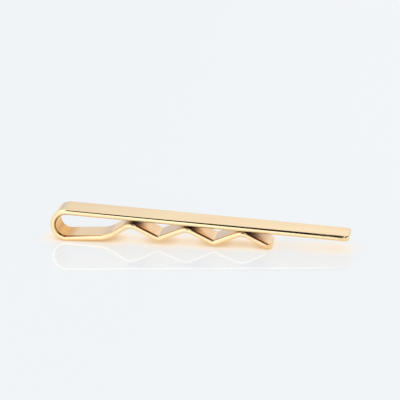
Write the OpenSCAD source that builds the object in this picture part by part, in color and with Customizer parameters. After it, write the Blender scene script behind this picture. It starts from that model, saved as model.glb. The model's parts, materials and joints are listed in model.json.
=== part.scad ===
// Tie clip of the slide kind: one springy strip, folded back under its own front bar.
// It lies as it would on a table, on its return bend and on the end of its lead-in tip,
// with the front bar on top, +X towards the open end and the strip's width along Y.
// Every stretch has the same rounded section. It is extruded along the straight ones,
// revolved round the return bend, and carried in one skin through the bends of the wave.

/* [Strip] */
// Width of the strip
strip_w = 5.5; // [4.5:0.1:8]
// Thickness of the strip
strip_t = 1; // [0.8:0.05:1.2]
// Radius along all the strip's edges
edge_r = 0.3; // [0.1:0.05:0.35]
// Radius of the corners at the strip's two ends, seen from its face
corner_r = 1; // [0.5:0.1:2]

/* [Front bar] */
// Length of the bar, from the axis of the return bend to its open end
bar_l = 51.8; // [46:0.1:62]

/* [Return bend] */
// Radius inside the return bend
bend_r = 2; // [1.7:0.1:2.5]
// Angle that the bend turns beyond a half circle
overbend_a = 6.3; // [2:0.1:9]

/* [Heel run] */
// Straight length between the return bend and the knee
heel_l = 5.8; // [4:0.1:8]

/* [Grip wave] */
// Radius inside the knee
knee_r = 5.5; // [2:0.5:7]
// Slope of the ramp against the bar
ramp_a = 35.5; // [28:0.5:42]
// Number of crests under the bar
crests = 3; // [2:1:3]
// Distance from one crest to the next
wave_pitch = 10.2; // [9:0.1:11]
// Height of a crest over the troughs beside it
wave_h = 1.95; // [1.5:0.05:2.4]
// Outer radius of a crest
crest_r = 2.8; // [1.6:0.1:3.2]
// Radius inside a trough
trough_r = 0.5; // [0.3:0.1:0.8]
// Angle at which the row of crests closes in on the bar
closing_a = 1.3; // [0:0.1:2]
// Clearance between the last crest and the bar when the clip is closed
crest_gap = 0.05; // [0.02:0.01:0.1]

/* [Lead-in tip] */
// Straight length of the tip, from the last crest to the strip's end
tip_l = 4.9; // [3:0.1:6]

/* [Hidden] */
// Facets of a full circle, for the edges and for the bends
$fn = 32;
bend_facets = 96;
// Facets round a quarter of the section's edge, and the angle of a facet along a bend,
// in the skin of the wave
skin_edge_facets = 4;
skin_facet_a = 6;

// Radii of the strip's middle line in each kind of bend
bend_mid_r = bend_r + strip_t / 2;
knee_mid_r = knee_r + strip_t / 2;
crest_mid_r = crest_r - strip_t / 2;
trough_mid_r = trough_r + strip_t / 2;

// The wave's flanks touch a crest's arc and a trough's arc, so both follow from the
// distance between the centres of those arcs.
flank_run = wave_pitch / 2;
flank_drop = wave_h - crest_mid_r - trough_mid_r;
flank_span = norm([flank_run, flank_drop]);
flank_a = atan2(flank_drop, flank_run) + asin((crest_mid_r + trough_mid_r) / flank_span);
flank_l = sqrt(pow(flank_span, 2) - pow(crest_mid_r + trough_mid_r, 2));

// A pose is [x, y, heading] on the middle line, drawn flat with y upwards and with the
// return bend's axis at the origin. A step is [length] where the strip is straight and
// [radius, turn] where it is bent, and a turn to the left is positive.
function straight_end(from, length) =
    [from.x + length * cos(from.z), from.y + length * sin(from.z), from.z];
function arc_end(from, radius, turn) =
    let (side = sign(turn) * radius, heading = from.z + turn)
    [from.x + side * (sin(heading) - sin(from.z)),
     from.y - side * (cos(heading) - cos(from.z)),
     heading];
function step_end(from, step) =
    len(step) == 1 ? straight_end(from, step[0]) : arc_end(from, step[0], step[1]);
function pose_after(from, steps, count) =
    count == 0 ? from : step_end(pose_after(from, steps, count - 1), steps[count - 1]);
function step_poses(from, step) =
    len(step) == 1 ? [step_end(from, step)] :
    let (facets = ceil(abs(step[1]) / skin_facet_a))
    [for (facet = [1 : facets]) arc_end(from, step[0], step[1] * facet / facets)];
function poses_along(from, steps) =
    [from, for (i = [0 : len(steps) - 1]) each step_poses(pose_after(from, steps, i), steps[i])];

// The ramp is as long as it takes to bring the first crest up to its place in the row,
// which ends in the last crest at its clearance.
bend_step = [bend_mid_r, 180 + overbend_a];
knee_step = [knee_mid_r, ramp_a - overbend_a];
bar_start = [0, bend_mid_r, 0];
bend_start = [0, bend_mid_r, 180];
heel_start = step_end(bend_start, bend_step);
wave_start = step_end(heel_start, [heel_l]);
ramp_start = step_end(wave_start, knee_step);
row_rise = (crests - 1) * wave_pitch * sin(closing_a);
first_arc_y = bend_r - crest_gap - row_rise - crest_r;
ramp_l = (first_arc_y + crest_mid_r * cos(ramp_a) - ramp_start.y) / sin(ramp_a);

first_crest = [knee_step, [ramp_l], [crest_mid_r, closing_a - ramp_a - flank_a]];
later_crest = [[flank_l], [trough_mid_r, 2 * flank_a], [flank_l], [crest_mid_r, -2 * flank_a]];
wave_steps = concat(first_crest, [for (crest = [2 : crests]) each later_crest]);
tip_start = pose_after(wave_start, wave_steps, len(wave_steps));

// The table touches the bend's outer face and the rounded lower edge of the tip.
// The tilt is the angle between the bar and that plane.
bend_outer_r = bend_r + strip_t;
tip_edge = straight_end(tip_start, tip_l - edge_r);
tip_edge_x = tip_edge.x + (strip_t / 2 - edge_r) * sin(tip_edge.z);
tip_edge_y = tip_edge.y - (strip_t / 2 - edge_r) * cos(tip_edge.z);
rest_reach = norm([tip_edge_x, tip_edge_y]);
rest_tilt = atan2(tip_edge_y, tip_edge_x) + asin((bend_outer_r - edge_r) / rest_reach);

// Half way between the bend's outer face and the bar's open end, along the table
bar_reach = (bar_l - edge_r) * cos(rest_tilt) + (bend_outer_r - edge_r) * sin(rest_tilt) + edge_r;
middle_x = (bar_reach - bend_outer_r) / 2;

// Rectangle with rounded corners, about the origin
module rounded_rectangle(size, radius) {
    inner = [size.x - 2 * radius, size.y - 2 * radius];
    square([size.x, inner.y], center = true);
    square([inner.x, size.y], center = true);
    for (side_x = [-1, 1], side_y = [-1, 1])
        translate([side_x * inner.x / 2, side_y * inner.y / 2]) circle(radius);
}

// Section of the strip: thickness along X, width along Y
module strip_section() rounded_rectangle([strip_t, strip_w], edge_r);

// Outer part of a section cut along the strip: reach along X, thickness along Y
module edge_profile() {
    intersection() {
        rounded_rectangle([2 * corner_r, strip_t], edge_r);
        translate([0, -strip_t / 2]) square([corner_r, strip_t]);
    }
}

// Straight stretch from the origin along X
module straight_strip(length) rotate([90, 0, 90]) linear_extrude(length) strip_section();

// Bent stretch from the origin, setting out along X
module bent_strip(radius, turn) {
    translate([0, radius]) rotate(-90) rotate_extrude(angle = turn, $fn = bend_facets)
        translate([radius, 0]) strip_section();
}

// Last stretch of the strip, with its corners and all its edges rounded
module strip_end() {
    middle_w = strip_w - 2 * corner_r;
    translate([0, 0, -middle_w / 2]) linear_extrude(middle_w) edge_profile();
    translate([0, 0, middle_w / 2]) rotate([-90, 0, 0])
        rotate([0, 0, -90]) rotate_extrude(angle = 90) edge_profile();
    translate([0, 0, -middle_w / 2]) rotate([-90, 0, 0])
        rotate_extrude(angle = 90) edge_profile();
}

// Straight stretch that runs out in the strip's end
module straight_to_end(length) {
    straight_strip(length - corner_r);
    translate([length - corner_r, 0]) strip_end();
}

module at_pose(pose) translate([pose.x, pose.y]) rotate(pose.z) children();

// The section's outline as [across, along the width], once round
function section_outline() =
    [for (quarter = [0 : 3], facet = [0 : skin_edge_facets])
        let (angle = 90 * (quarter + facet / skin_edge_facets),
             side_x = quarter == 0 || quarter == 3 ? 1 : -1,
             side_y = quarter < 2 ? 1 : -1)
        [side_x * (strip_t / 2 - edge_r) + edge_r * cos(angle),
         side_y * (strip_w / 2 - edge_r) + edge_r * sin(angle)]];

// The same outline, set square to the middle line at a pose
function section_at(pose) =
    [for (point = section_outline())
        [pose.x + point.x * sin(pose.z), pose.y - point.x * cos(pose.z), point.y]];

// One skin over the sections at a list of poses, closed at both ends
module skin(poses) {
    sides = len(section_outline());
    last = len(poses) - 1;
    walls = [for (ring = [0 : last - 1], side = [0 : sides - 1])
        let (next = (side + 1) % sides)
        [ring * sides + side, ring * sides + next,
         (ring + 1) * sides + next, (ring + 1) * sides + side]];
    first_cap = [for (side = [sides - 1 : -1 : 0]) side];
    last_cap = [for (side = [0 : sides - 1]) last * sides + side];
    polyhedron([for (pose = poses) each section_at(pose)], concat(walls, [first_cap, last_cap]));
}

// From the flat drawing to the attitude on the table
module lying() {
    translate([-middle_x, 0, bend_outer_r]) rotate([0, rest_tilt, 0])
        rotate([90, 0, 0]) children();
}

// Show face of the clip, on the outside of the tie
module front_bar() {
    color([0.96, 0.83, 0.58]) lying() at_pose(bar_start) straight_to_end(bar_l);
}

// Spring of the clip: the only stretch that has to flex when the bar is lifted
module return_bend() {
    color([0.93, 0.78, 0.51]) lying() at_pose(bend_start) bent_strip(bend_step[0], bend_step[1]);
}

// Keeps the mouth of the bend open for the edge of the cloth
module heel_run() {
    color([0.9, 0.75, 0.49]) lying() at_pose(heel_start) straight_strip(heel_l);
}

// Knee, ramp and the crests that press the cloth against the bar
module grip_wave() {
    color([0.94, 0.79, 0.53]) lying() skin(poses_along(wave_start, wave_steps));
}

// Bends away from the bar, so that the clip slides on over the cloth
module lead_in_tip() {
    color([0.89, 0.73, 0.47]) lying() at_pose(tip_start) straight_to_end(tip_l);
}

front_bar();
return_bend();
heel_run();
grip_wave();
lead_in_tip();
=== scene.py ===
import bmesh
import bpy
import json
import math
from mathutils import Matrix, Vector


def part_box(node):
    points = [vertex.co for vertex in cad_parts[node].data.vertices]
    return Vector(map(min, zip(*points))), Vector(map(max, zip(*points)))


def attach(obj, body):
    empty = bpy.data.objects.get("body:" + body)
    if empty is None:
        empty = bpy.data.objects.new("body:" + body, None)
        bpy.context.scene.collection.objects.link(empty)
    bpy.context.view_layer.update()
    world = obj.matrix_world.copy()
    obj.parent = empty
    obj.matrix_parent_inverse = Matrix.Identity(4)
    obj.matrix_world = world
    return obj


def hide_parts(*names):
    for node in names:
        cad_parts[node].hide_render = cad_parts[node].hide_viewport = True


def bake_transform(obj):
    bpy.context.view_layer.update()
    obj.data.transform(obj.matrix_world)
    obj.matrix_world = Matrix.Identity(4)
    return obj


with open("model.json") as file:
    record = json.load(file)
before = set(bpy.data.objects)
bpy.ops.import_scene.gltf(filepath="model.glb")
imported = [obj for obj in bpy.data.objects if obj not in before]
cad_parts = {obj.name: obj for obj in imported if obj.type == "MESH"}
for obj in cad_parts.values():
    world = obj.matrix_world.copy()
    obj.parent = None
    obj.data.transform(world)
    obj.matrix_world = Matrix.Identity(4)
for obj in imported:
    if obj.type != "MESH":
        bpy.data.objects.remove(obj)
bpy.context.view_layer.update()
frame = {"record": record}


# Node graphs: Flow is a socket that takes arithmetic, NodeBench adds any other node to a tree

class Flow:
    def __init__(self, bench, socket):
        self.bench = bench
        self.socket = socket

    def maths(self, operation, *values):
        return self.bench.add("ShaderNodeMath", {"operation": operation}, dict(enumerate(values)))

    def __add__(self, other):
        return self.maths("ADD", self, other)

    def __radd__(self, other):
        return self.maths("ADD", other, self)

    def __sub__(self, other):
        return self.maths("SUBTRACT", self, other)

    def __rsub__(self, other):
        return self.maths("SUBTRACT", other, self)

    def __mul__(self, other):
        return self.maths("MULTIPLY", self, other)

    def __rmul__(self, other):
        return self.maths("MULTIPLY", other, self)

    def __abs__(self):
        return self.maths("ABSOLUTE", self)

    def power(self, exponent):
        return self.maths("POWER", self, exponent)

    def smallest(self, other):
        return self.maths("MINIMUM", self, other)

    def largest(self, other):
        return self.maths("MAXIMUM", self, other)

    def ramp(self, start, end, low=0.0, high=1.0):        # smooth step from low at start to high at end
        return self.bench.add("ShaderNodeMapRange", {"interpolation_type": "SMOOTHSTEP"},
                              {"Value": self, "From Min": start, "From Max": end,
                               "To Min": low, "To Max": high})


class NodeBench:
    def __init__(self, tree):
        self.tree = tree
        tree.nodes.clear()

    def socketOf(self, sockets, key):
        if isinstance(key, int):
            return sockets[key]
        return next(socket for socket in sockets if key in (socket.identifier, socket.name))

    def add(self, kind, settings=None, values=None, take=0):
        node = self.tree.nodes.new(kind)
        for name, setting in (settings or {}).items():
            setattr(node, name, setting)
        for key, value in (values or {}).items():
            socket = self.socketOf(node.inputs, key)
            if isinstance(value, Flow):
                self.tree.links.new(value.socket, socket)
            elif socket.type == "RGBA":                   # colours are given without their alpha
                socket.default_value = (*value, 1)
            else:
                socket.default_value = value
        return Flow(self, self.socketOf(node.outputs, take)) if len(node.outputs) else None

    def take(self, flow, key):                            # another output of the same node
        return Flow(self, self.socketOf(flow.socket.node.outputs, key))

    def mixColour(self, share, first, second):
        return self.add("ShaderNodeMix", {"data_type": "RGBA"},
                        {"Factor_Float": share, "A_Color": first, "B_Color": second}, "Result_Color")

    def mixShader(self, share, first, second):
        return self.add("ShaderNodeMixShader", {}, {0: share, 1: first, 2: second})


# The strip: three flat blanks, each bent later along its part of the middle line

strip = {
    "width": 0.0055,
    "thickness": 0.001,
    "edgeRadius": 0.0004,                                 # softer than in the CAD, as polishing leaves it
    "cornerRadius": 0.001,
    "edgeSteps": 8,                                       # quads round a quarter of an edge
    "cornerSteps": 14,                                    # quads round a corner, seen from the face
    "straightStep": 0.0012,                               # longest quad on a straight stretch
    "cornerMargin": 0.25,                                 # share of that length kept free beside a corner
    "faceShares": (0.02, 0.2, 0.5, 0.8, 0.98),            # where the faces are divided, across the width
    "mergeDistance": 0.0000001,
    "sharpAngle": 40,                                     # degrees from which an edge counts as sharp
}

shape = {
    "barLength": 0.0518,                                  # from the bend's axis to the open end
    "bendRadius": 0.002,
    "overbend": 6.3,                                      # degrees past a half circle
    "heelLength": 0.0058,
    "kneeRadius": 0.0055,
    "rampSlope": 35.5,                                    # degrees against the bar
    "crests": 3,
    "wavePitch": 0.0102,
    "waveHeight": 0.00195,
    "crestRadius": 0.0028,
    "troughRadius": 0.0005,
    "closingAngle": 1.3,                                  # degrees between the row of crests and the bar
    "crestGap": 0.00005,                                  # under the last crest
    "tipLength": 0.0049,
    "bendStep": 1.0,                                      # degrees turned by a quad in a bend
}


def stepEnd(pose, length, turn=0.0):                      # pose: x, y, heading; turn in degrees
    x, y, heading = pose
    if not turn:
        return x + length * math.cos(heading), y + length * math.sin(heading), heading
    radius = length / math.radians(turn)
    after = heading + math.radians(turn)
    return (x + radius * (math.sin(after) - math.sin(heading)),
            y - radius * (math.cos(after) - math.cos(heading)), after)


def arc(radius, turn):                                    # step of a bend: its length and its turn
    return radius * math.radians(abs(turn)), turn


def stretchSteps():
    # the first pose and the steps of each stretch, drawn flat with the bend's axis at the origin
    half = strip["thickness"] / 2
    bendMid, kneeMid = shape["bendRadius"] + half, shape["kneeRadius"] + half
    crestMid, troughMid = shape["crestRadius"] - half, shape["troughRadius"] + half
    run = shape["wavePitch"] / 2
    drop = shape["waveHeight"] - crestMid - troughMid
    span = math.hypot(run, drop)
    flank = math.degrees(math.atan2(drop, run) + math.asin((crestMid + troughMid) / span))
    flankLength = math.sqrt(span ** 2 - (crestMid + troughMid) ** 2)
    slope, closing = shape["rampSlope"], shape["closingAngle"]

    start = (shape["barLength"], bendMid, math.pi)
    bar = [(shape["barLength"], 0.0)]
    bend = [arc(bendMid, 180 + shape["overbend"])]
    leg = [(shape["heelLength"], 0.0), arc(kneeMid, slope - shape["overbend"])]
    pose = start
    for length, turn in bar + bend + leg:
        pose = stepEnd(pose, length, turn)
    rowRise = (shape["crests"] - 1) * shape["wavePitch"] * math.sin(math.radians(closing))
    firstAxis = shape["bendRadius"] - shape["crestGap"] - rowRise - shape["crestRadius"]
    rise = firstAxis + crestMid * math.cos(math.radians(slope)) - pose[1]
    leg += [(rise / math.sin(math.radians(slope)), 0.0), arc(crestMid, closing - slope - flank)]
    wave = [(flankLength, 0.0), arc(troughMid, 2 * flank), (flankLength, 0.0), arc(crestMid, -2 * flank)]
    leg += wave * (shape["crests"] - 1) + [(shape["tipLength"], 0.0)]
    return start, [bar, bend, leg]


def middleLine():
    # points of the middle line, the length along it at each, the length at each seam, and
    # for each crest the lengths on the leg and on the bar where the two come closest
    start, stretches = stretchSteps()
    pose, points, lengths, seams, nips = start, [start[:2]], [0.0], [0.0], []
    for steps in stretches:
        for length, turn in steps:
            count = (math.ceil(abs(turn) / shape["bendStep"]) if turn
                     else math.ceil(length / strip["straightStep"]))
            for i in range(count):
                before = pose
                pose = stepEnd(pose, length / count, turn / count)
                points.append(pose[:2])
                lengths.append(lengths[-1] + math.dist(points[-2], points[-1]))
                if turn < 0 and math.sin(before[2]) > 0 >= math.sin(pose[2]):        # top of a crest
                    nips.append((lengths[-1], shape["barLength"] - pose[0]))
        seams.append(lengths[-1])
    return points, lengths, seams, nips


def restingPlace():
    # from the flat drawing to the clip lying on its bend and its tip, as the frame has it
    face = next(mount for mount in frame["record"]["mounts"] if mount["name"] == "show_face")
    tilt = math.atan2(face["axis"][0], face["axis"][2])
    outer = shape["bendRadius"] + strip["thickness"]
    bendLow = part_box("return_bend")[0]
    return (Matrix.Translation((bendLow.x + outer, 0, outer)) @ Matrix.Rotation(tilt, 4, "Y")
            @ Matrix.Rotation(math.pi / 2, 4, "X"))


linePoints, lineLengths, seamLengths, nipPlaces = middleLine()
_, barSeam, heelSeam, tipEnd = seamLengths
lying = restingPlace()


def middleLineObject():
    curve = bpy.data.curves.new("middleLine", "CURVE")
    curve.dimensions = "3D"
    spline = curve.splines.new("POLY")
    spline.points.add(len(linePoints) - 1)
    for point, place in zip(spline.points, linePoints):
        point.co = (*(lying @ Vector((*place, 0))), 1)
    line = bpy.data.objects.new("middleLine", curve)
    bpy.context.collection.objects.link(line)
    return line


def nearRungs(start, end, roundStart, roundEnd):
    # plan points of the near edge, each with its outward direction, from start to end
    half, radius, count = strip["width"] / 2, strip["cornerRadius"], strip["cornerSteps"]
    margin = strip["straightStep"] * strip["cornerMargin"]
    angles = [math.radians(90 * i / count) for i in range(count + 1)]

    def corner(length, endwards, turns):                  # endwards: -1 at the start, 1 at the end
        centre = Vector((length, radius - half))
        outwards = [Vector((endwards * math.cos(turn), -math.sin(turn))) for turn in turns]
        return [(centre + radius * outward, outward) for outward in outwards]

    lowest = start + radius + margin if roundStart else start
    highest = end - radius - margin if roundEnd else end
    rungs = corner(start + radius, -1, angles) if roundStart else []
    rungs += [(Vector((length, -half)), Vector((0, -1)))
              for length in lineLengths if lowest <= length <= highest]
    return rungs + (corner(end - radius, 1, angles[::-1]) if roundEnd else [])


def flatBlank(name, start, end, roundStart=False, roundEnd=False):
    # length along X, width along Y, thickness along Z with the show face up
    radius, half, steps = strip["edgeRadius"], strip["thickness"] / 2, strip["edgeSteps"]
    turns = [math.radians(90 - 90 * i / steps) for i in range(steps + 1)]
    levels = [(radius * (1 - math.cos(turn)), half - radius + radius * math.sin(turn)) for turn in turns]
    levels += [(inset, -height) for inset, height in reversed(levels)]
    shares = (0.0, *strip["faceShares"], 1.0)
    mesh = bmesh.new()

    def rowsAcross(point, outward):                       # one row per level, from the near edge to the far
        nears = [(point - outward * inset, height) for inset, height in levels]
        return [[Vector((near.x, near.y * (1 - 2 * share), height)) for share in shares]
                for near, height in nears]

    def onceRound(rows):
        far, near = [row[-1] for row in rows[1:]], [row[0] for row in rows[-2::-1]]
        return rows[0] + far + rows[-1][-2::-1] + near

    def quads(first, second):
        for corners in zip(first, first[1:], second[1:], second):
            mesh.faces.new([mesh.verts.new(corner) for corner in corners])

    sections = [rowsAcross(*rung) for rung in nearRungs(start, end, roundStart, roundEnd)]
    for rows in (sections[0], sections[-1]):              # closes both ends
        for above, below in zip(rows, rows[1:]):
            quads(above, below)
    loops = [onceRound(rows) for rows in sections]
    for first, second in zip(loops, loops[1:]):
        quads(first, second)
    bmesh.ops.remove_doubles(mesh, verts=mesh.verts, dist=strip["mergeDistance"])
    bmesh.ops.recalc_face_normals(mesh, faces=mesh.faces)
    for edge in mesh.edges:                               # a seam's cap meets the strip at a sharp edge
        edge.smooth = edge.calc_face_angle(0) < math.radians(strip["sharpAngle"])
    data = bpy.data.meshes.new(name)
    mesh.to_mesh(data)
    mesh.free()
    blank = bpy.data.objects.new(name, data)
    bpy.context.collection.objects.link(blank)
    return blank


def bendingTree():
    # lays a flat blank along the middle line, and keeps each point's place on the flat strip
    tree = bpy.data.node_groups.new("bendAlongLine", "GeometryNodeTree")
    bench = NodeBench(tree)
    inputs = {}
    for label, kind in (("Blank", "NodeSocketGeometry"), ("Middle Line", "NodeSocketObject"),
                        ("Finish", "NodeSocketMaterial")):
        inputs[label] = tree.interface.new_socket(label, in_out="INPUT", socket_type=kind).identifier
    tree.interface.new_socket("Clip", in_out="OUTPUT", socket_type="NodeSocketGeometry")

    blank = bench.add("NodeGroupInput", take="Blank")
    place = bench.add("GeometryNodeInputPosition")
    length = bench.add("ShaderNodeSeparateXYZ", {}, {0: place})
    across, height = bench.take(length, "Y"), bench.take(length, "Z")
    line = bench.add("GeometryNodeObjectInfo", {"transform_space": "RELATIVE"},
                     {"Object": bench.take(blank, "Middle Line")}, "Geometry")
    middle = bench.add("GeometryNodeSampleCurve", {"mode": "LENGTH", "use_all_curves": True},
                       {"Curves": line, "Length": length}, "Position")
    along = bench.take(middle, "Tangent")
    outward = bench.add("ShaderNodeVectorMath", {"operation": "CROSS_PRODUCT"}, {0: (0, 1, 0), 1: along})
    raised = bench.add("ShaderNodeVectorMath", {"operation": "SCALE"}, {0: outward, "Scale": height})
    sideways = bench.add("ShaderNodeCombineXYZ", {}, {"Y": 0 - across})
    bent = bench.add("ShaderNodeVectorMath", {"operation": "ADD"}, {0: middle, 1: raised})
    bent = bench.add("ShaderNodeVectorMath", {"operation": "ADD"}, {0: bent, 1: sideways})
    marked = bench.add("GeometryNodeStoreNamedAttribute", {"data_type": "FLOAT_VECTOR", "domain": "POINT"},
                       {"Geometry": blank, "Name": "stripPlace", "Value": place})
    moved = bench.add("GeometryNodeSetPosition", {}, {"Geometry": marked, "Position": bent})
    smooth = bench.add("GeometryNodeSetShadeSmooth", {}, {"Geometry": moved, "Shade Smooth": True})
    real = bench.add("GeometryNodeRealizeInstances", {}, {"Geometry": smooth})
    finished = bench.add("GeometryNodeSetMaterial", {},
                         {"Geometry": real, "Material": bench.take(blank, "Finish")})
    bench.add("NodeGroupOutput", {}, {"Clip": finished})
    return tree, inputs


def bentPiece(name, start, end, finish, line, tree, inputs, **rounded):
    blank = flatBlank(name + "Blank", start, end, **rounded)
    bending = blank.modifiers.new("bend", "NODES")
    bending.node_group = tree
    bending[inputs["Middle Line"]] = line
    bending[inputs["Finish"]] = finish
    graph = bpy.context.evaluated_depsgraph_get()
    mesh = bpy.data.meshes.new_from_object(blank.evaluated_get(graph), depsgraph=graph)
    mesh.name = name
    piece = bpy.data.objects.new(name, mesh)
    bpy.context.collection.objects.link(piece)
    bpy.data.objects.remove(blank)
    print(name, len(mesh.polygons), "faces")
    return piece


# Gold: lengths are in metres, along the strip or across it, and a noise is given as its turn in
# degrees, its stretch along the three axes and its detail. It shows between two of its levels.

goldPlate = {
    "colour": (0.98, 0.77, 0.46),
    "rosyColour": (0.97, 0.72, 0.43),                     # where the plating is a little thicker
    "rosyNoise": (0, (70, 210, 210), 1.0),
    "rosyShown": (0.35, 0.65),
    "noiseRoughness": 0.55,
    "roughness": 0.06,
    "smudgeRoughness": 0.05,                              # added where it has been handled
    "smudgeNoise": (12, (130, 420, 420), 2.0),
    "smudgeShown": (0.42, 0.68),
    "polishingRoughness": 0.02,                           # fine lines that polishing leaves
    "polishingNoise": (0, (110, 9000, 9000), 1.0),
    "waveDepth": 0.0000018,                               # slow unevenness that it leaves
    "waveNoise": (0, (160, 380, 380), 0.0),
    "scratchRoughness": 0.08,
    "scratchDepth": 0.0000006,
    "scratchNoise": (0, (90, 5200, 5200), 1.0),
    "scratchLevel": 0.5,                                  # scratches run where the noise has this level
    "scratchRuns": ((8, 0.012), (-23, 0.009), (61, 0.007)),         # turn in degrees, width in levels
    "patchNoise": (31, (240, 300, 300), 0.0),             # where there are scratches
    "patchShown": (0.52, 0.62),
    "wornColour": (0.99, 0.80, 0.51),                     # along the edges, where the plating is thinner
    "wornShare": 0.8,
    "edgePower": 0.5,                                     # under 1, so that the wear spreads further in
    "innerColour": (0.97, 0.71, 0.42),                    # a little darker and more orange on the side that faces the cloth
    "innerRoughness": 0.08,                               # added there, where it is less polished
    "nipColour": (0.13, 0.06, 0.022),                     # painted contact shade by the crests, where leg and bar come closest
    "nipRoughness": 0.2,
    "nipShift": 0.0004,                                   # its middle, from the crest towards the tip
    "nipBefore": 0.0026,
    "nipBeyond": (0.0026, 0.0028, 0.005),                 # furthest at the last crest, which lies closest
    "nipMargin": 0.0002,                                  # the painted shade is lighter along the two edges
    "nipAtEdge": 0.25,
    "nipThinnest": 0.75,
    "mottleNoise": (5, (300, 500, 500), 2.0),             # makes the painted contact shade uneven
    "mottleShown": (0.25, 0.5),
    "blushColour": (0.92, 0.60, 0.32),                    # painted shade on the flank beyond each crest's painted shade, towards the tip
    "blushStart": (-0.001, 0.0008),
    "blushEnd": (0.0052, 0.0035),
    "bendColour": (0.84, 0.43, 0.10),                     # painted shade inside the return bend
    "bendFade": 0.002,
    "rimColour": (0.10, 0.045, 0.015),                    # painted dark shade along its inner rims and the heel's
    "rimStart": (0.001, 0.003),                           # from the seam of bar and bend
    "rimReach": 0.006,                                    # how far it runs on along the heel
    "flankRim": 0.9,                                      # share of it beyond each crest
}


def goldFinish():
    material = bpy.data.materials.new("polishedGold")
    material.use_nodes = True
    bench = NodeBench(material.node_tree)
    place = bench.add("ShaderNodeAttribute", {"attribute_name": "stripPlace"}, take="Vector")

    def pattern(key, turned=0):                           # noise turned in the strip's face and stretched
        turn, stretch, detail = goldPlate[key + "Noise"]
        laid = bench.add("ShaderNodeMapping", {}, {
            "Vector": place, "Rotation": (0, 0, math.radians(turn + turned)), "Scale": stretch})
        return bench.add("ShaderNodeTexNoise", {"noise_dimensions": "3D"}, {
            "Vector": laid, "Scale": 1.0, "Detail": detail, "Roughness": goldPlate["noiseRoughness"]})

    def shown(key, turned=0):
        return pattern(key, turned).ramp(*goldPlate[key + "Shown"])

    scratches = 0.0
    for turned, width in goldPlate["scratchRuns"]:        # thin, sparse lines that all run one way
        lines = abs(pattern("scratch", turned) - goldPlate["scratchLevel"]).ramp(width, 0.0)
        scratches = lines * shown("patch", turned) + scratches
    scratches = scratches.smallest(1.0)

    along = bench.add("ShaderNodeSeparateXYZ", {}, {0: place})
    across, height = abs(bench.take(along, "Y")), bench.take(along, "Z")
    half, radius = strip["thickness"] / 2, strip["edgeRadius"]
    side = strip["width"] / 2 - radius
    edge = across.ramp(side, strip["width"] / 2) * abs(height).ramp(half - radius, half)
    edge = edge.power(goldPlate["edgePower"])
    inner = height.ramp(radius - half, -half)             # the side that faces the cloth
    nip, blush = 0.0, 0.0
    # painted shade: a dark contact shade by each crest, and a warmer painted shade (blush) on the flank
    # beyond it
    for (onLeg, onBar), reach in zip(nipPlaces, goldPlate["nipBeyond"]):
        for ahead in (along - onLeg, onBar - along):      # towards the tip, on the leg and on the bar
            beyond = ahead - goldPlate["nipShift"]
            contactShade = beyond.ramp(-goldPlate["nipBefore"], 0.0) * beyond.ramp(reach, 0.0)
            flankShade = beyond.ramp(*goldPlate["blushStart"]) * beyond.ramp(*goldPlate["blushEnd"])
            nip, blush = contactShade.largest(nip), flankShade.largest(blush)
    nip = nip * inner * across.ramp(side, side - goldPlate["nipMargin"], goldPlate["nipAtEdge"], 1.0)
    nip = nip * pattern("mottle").ramp(*goldPlate["mottleShown"], goldPlate["nipThinnest"], 1.0)
    fade = goldPlate["bendFade"]
    # painted shade inside the return bend
    bendInside = inner * along.ramp(barSeam, barSeam + fade) * along.ramp(heelSeam + fade, heelSeam)
    # painted dark line of shade along the inner rims, running on beyond each crest
    rimStart, rimFull = goldPlate["rimStart"]
    rim = (along.ramp(barSeam + rimStart, barSeam + rimFull)
           * along.ramp(heelSeam + goldPlate["rimReach"], heelSeam))
    rim = rim.largest(blush * goldPlate["flankRim"]) * edge * inner

    colour, roughness = goldPlate["colour"], goldPlate["roughness"]
    # bend, blush, rim and nip paint shade into the colour
    for key, share in (("rosy", shown("rosy")), ("inner", inner), ("worn", edge * goldPlate["wornShare"]),
                       ("bend", bendInside), ("blush", blush * inner), ("rim", rim), ("nip", nip)):
        colour = bench.mixColour(share, colour, goldPlate[key + "Colour"])
    for key, share in (("smudge", shown("smudge")), ("scratch", scratches),
                       ("polishing", pattern("polishing")), ("nip", nip), ("inner", inner)):
        roughness = roughness + share * goldPlate[key + "Roughness"]
    relief = pattern("wave") * goldPlate["waveDepth"] - scratches * goldPlate["scratchDepth"]
    bump = bench.add("ShaderNodeBump", {}, {"Strength": 1.0, "Distance": 1.0, "Height": relief})
    shader = bench.add("ShaderNodeBsdfPrincipled", {}, {
        "Base Color": colour, "Metallic": 1.0, "Roughness": roughness, "Normal": bump})
    bench.add("ShaderNodeOutputMaterial", {}, {"Surface": shader})
    return material


gold = goldFinish()
tree, inputs = bendingTree()
line = middleLineObject()

bar = bentPiece("goldBar", 0.0, barSeam, gold, line, tree, inputs, roundStart=True)
bend = bentPiece("goldBend", barSeam, heelSeam, gold, line, tree, inputs)
leg = bentPiece("goldLeg", heelSeam, tipEnd, gold, line, tree, inputs, roundEnd=True)
bpy.data.objects.remove(line)

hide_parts("front_bar")
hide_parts("return_bend")
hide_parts("heel_run", "grip_wave", "lead_in_tip")
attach(bar, "bar")
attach(leg, "leg")
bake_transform(bend)
print("bar, bend and leg are in place")


# Studio: a glossy white floor and a bright world with light boxes and a dark card, which the gold mirrors

floorFinish = {
    "size": 4.0,
    "colour": (0.55, 0.82, 0.98),
    "roughness": 0.03,
    "ior": 1.45,
    "sheenRoughness": 0.3,                                # blurs the clip's colour onto the floor close by
    "sheenShare": 0.22,
    "seenTone": (1.03, 0.96, 0.93),                       # even, warmer part, so that the shadow is warm too
    "seenShare": 0.6,
    "mirroredTone": (1.15, 1.0, 0.74),                    # what polished metal sees of it
    "mirroredShare": 0.55,
    "glowTone": (1.24, 0.99, 0.7),                        # painted glow on the floor beside the gold, for the light that it throws there
    "glowReach": 0.003,
    "glowShare": 1.25,
    "underTone": (0.6, 0.36, 0.16),                       # painted shade right under it
    "underPower": 1.5,                                    # over 1, so that it stays closer to the clip
}

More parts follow.
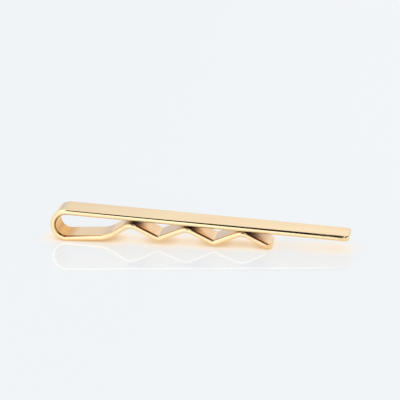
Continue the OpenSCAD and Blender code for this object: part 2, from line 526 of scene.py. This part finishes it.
studio = {
    "backdrop": (0.88, 0.91, 0.925),                      # as the photograph's background
    "fill": 0.95,                                         # even light, seen by matt surfaces
    "around": 1.0,                                        # levels from here on are what polished metal sees
    "farHorizon": 0.78,
    "farTint": (0.94, 1.0, 1.12),
    "farLeft": 0.87,
    "leftBox": 1.6,
    "frontBox": 1.9,
    "floorBox": 3.6,                                      # the same box, in the floor's image of the clip
    "floorTint": (0.85, 1.0, 1.4),
    "darkCard": 0.008,
    "farFade": (158, 176),                                # degrees from the front horizon over the zenith
    "farStart": (140, 156),
    "farLeftSide": (-0.06, -0.2),                         # share along X
    "cardLow": (26, 8),                                   # start of the card, at its left and further right
    "cardTop": (94, 152),                                 # and its end, both in degrees as above
    "cardBlur": 4,
    "cardWidening": (-0.095, -0.05),                      # shares along X between which it gets wider
    "cardRise": 18,                                       # degrees by which it starts higher right of there
    "cardRising": (-0.022, 0.03),
    "cardLeft": (-0.2, -0.16),
    "cardRight": (0.8, 0.65),
    "windowCentre": (0.15, 88),                           # opening in the card: share along X, and degrees
    "windowReach": (0.13, 75),
    "windowEdge": (1.1, 0.92),
    "leftBoxSide": (-0.3, -0.5),
    "leftBoxHeight": (0.5, 0.7),
    "frontBoxTowards": (-0.15, -0.94, 0.31),
    "frontBoxAngles": (14, 9),                            # degrees off that direction
}


def studioFloor():
    half = floorFinish["size"] / 2
    corners = [(-half, -half, 0), (half, -half, 0), (half, half, 0), (-half, half, 0)]
    mesh = bpy.data.meshes.new("studioFloor")
    mesh.from_pydata(corners, [], [(0, 1, 2, 3)])
    floor = bpy.data.objects.new("studioFloor", mesh)
    bpy.context.collection.objects.link(floor)
    material = bpy.data.materials.new("glossyWhite")
    material.use_nodes = True
    bench = NodeBench(material.node_tree)

    def lit(key):
        return bench.add("ShaderNodeEmission", {}, {"Color": floorFinish[key], "Strength": 1.0})

    lacquer = bench.add("ShaderNodeBsdfPrincipled", {}, {
        "Base Color": floorFinish["colour"],
        "Roughness": floorFinish["roughness"],
        "IOR": floorFinish["ior"]})
    sheen = bench.add("ShaderNodeBsdfAnisotropic", {}, {
        "Color": (1, 1, 1), "Roughness": floorFinish["sheenRoughness"]})
    glazed = bench.mixShader(floorFinish["sheenShare"], lacquer, sheen)
    fromCamera = bench.add("ShaderNodeLightPath", take="Is Camera Ray")
    mirrored = bench.take(fromCamera, "Is Glossy Ray")
    even = bench.mixShader(mirrored, lit("seenTone"), lit("mirroredTone"))
    share = fromCamera * floorFinish["seenShare"] + mirrored * floorFinish["mirroredShare"]
    surface = bench.mixShader(share, glazed, even)
    # painted glow and shade on the floor, wherever the clip covers it
    covered = 1 - bench.add("ShaderNodeAmbientOcclusion", {}, {"Distance": floorFinish["glowReach"]}, "AO")
    glow = bench.mixShader(covered.power(floorFinish["underPower"]), lit("glowTone"), lit("underTone"))
    surface = bench.mixShader((covered * floorFinish["glowShare"]).smallest(1.0), surface, glow)
    bench.add("ShaderNodeOutputMaterial", {}, {"Surface": surface})
    mesh.materials.append(material)


def studioLight():
    world = bpy.data.worlds.new("studio")
    world.use_nodes = True
    bpy.context.scene.world = world
    bench = NodeBench(world.node_tree)
    towards = bench.add("ShaderNodeTexCoord", take="Generated")
    side = bench.add("ShaderNodeSeparateXYZ", {}, {0: towards})
    height = bench.take(side, "Z")
    turned = bench.add("ShaderNodeMath", {"operation": "ARCTAN2"}, {0: height, 1: 0 - bench.take(side, "Y")})

    def between(flow, key, low=0.0, high=1.0):
        return flow.ramp(*studio[key], low, high)

    def inRadians(key):
        return [math.radians(angle) for angle in studio[key]]

    def blended(level, other, share):                     # a light or dark panel over the level behind it
        return level + share * (other - level)

    fromCamera = bench.add("ShaderNodeLightPath", take="Is Camera Ray")
    mirrored = bench.take(fromCamera, "Is Glossy Ray")
    again = bench.take(fromCamera, "Glossy Depth").ramp(1, 2)        # mirrored twice, by floor and clip
    far = turned.ramp(*inRadians("farFade"))
    farStart = turned.ramp(*inRadians("farStart"))
    level = blended(studio["around"], studio["farHorizon"], far)
    level = level * (1 - farStart * between(side, "farLeftSide", 0.0, 1 - studio["farLeft"]))
    level = blended(level, studio["leftBox"], between(side, "leftBoxSide") * between(height, "leftBoxHeight"))

    outer, inner = (math.cos(angle) for angle in inRadians("frontBoxAngles"))
    frontBox = bench.add("ShaderNodeVectorMath", {"operation": "DOT_PRODUCT"},
                         {0: towards, 1: Vector(studio["frontBoxTowards"]).normalized()}, "Value")
    frontBox = frontBox.ramp(outer, inner)
    level = blended(level, blended(studio["frontBox"], studio["floorBox"], again), frontBox)

    widening = between(side, "cardWidening")
    low = blended(*inRadians("cardLow"), widening)
    low = low + between(side, "cardRising") * math.radians(studio["cardRise"])
    top = blended(*inRadians("cardTop"), widening)
    blur = math.radians(studio["cardBlur"])
    card = (turned - low).ramp(-blur, blur) * (top - turned).ramp(-blur, blur)
    card = card * between(side, "cardLeft") * between(side, "cardRight")
    sideways, angle = studio["windowCentre"]
    width, turn = studio["windowReach"]
    offSide = (side - sideways) * (1 / width)
    offAngle = (turned - math.radians(angle)) * (1 / math.radians(turn))
    card = card * (1 - between(offSide * offSide + offAngle * offAngle, "windowEdge"))
    level = blended(level, studio["darkCard"], card)
    level = blended(level, studio["fill"], bench.take(fromCamera, "Is Diffuse Ray"))

    colour = bench.mixColour(far * mirrored, (1, 1, 1), studio["farTint"])
    colour = bench.mixColour(frontBox * again, colour, studio["floorTint"])
    colour = bench.mixColour(fromCamera, colour, studio["backdrop"])
    background = bench.add("ShaderNodeBackground", {}, {
        "Color": colour, "Strength": blended(level, 1.0, fromCamera)})
    bench.add("ShaderNodeOutputWorld", {}, {"Surface": background})


studioFloor()
studioLight()
print("studio is lit")


# Camera: where the photograph was taken from, fitted to the clip's edges

camera = {
    "azimuth": 8.95,                                      # degrees from the front towards the right
    "elevation": 18.17,
    "roll": 0.36,
    "distance": 0.4,
    "lens": 199.55,                                       # in mm, like the sensor's width
    "sensorWidth": 36.0,
    "clip": (0.01, 10.0),
    "aim": (0.000408, -0.00275, 0.00904),
}


def photoCamera():
    data = bpy.data.cameras.new("photoCamera")
    data.lens, data.sensor_width = camera["lens"], camera["sensorWidth"]
    data.clip_start, data.clip_end = camera["clip"]
    view = bpy.data.objects.new("photoCamera", data)
    bpy.context.collection.objects.link(view)
    azimuth, elevation = math.radians(camera["azimuth"]), math.radians(camera["elevation"])
    back = Vector((math.sin(azimuth) * math.cos(elevation), -math.cos(azimuth) * math.cos(elevation),
                   math.sin(elevation)))
    level = (-back).to_track_quat("-Z", "Y").to_matrix()
    turn = level @ Matrix.Rotation(-math.radians(camera["roll"]), 3, "Z")
    view.matrix_world = Matrix.Translation(Vector(camera["aim"]) + back * camera["distance"]) @ turn.to_4x4()
    bpy.context.scene.camera = view


photoCamera()
bpy.context.scene.view_settings.view_transform = "Standard"
print("camera is where the photograph was taken from")
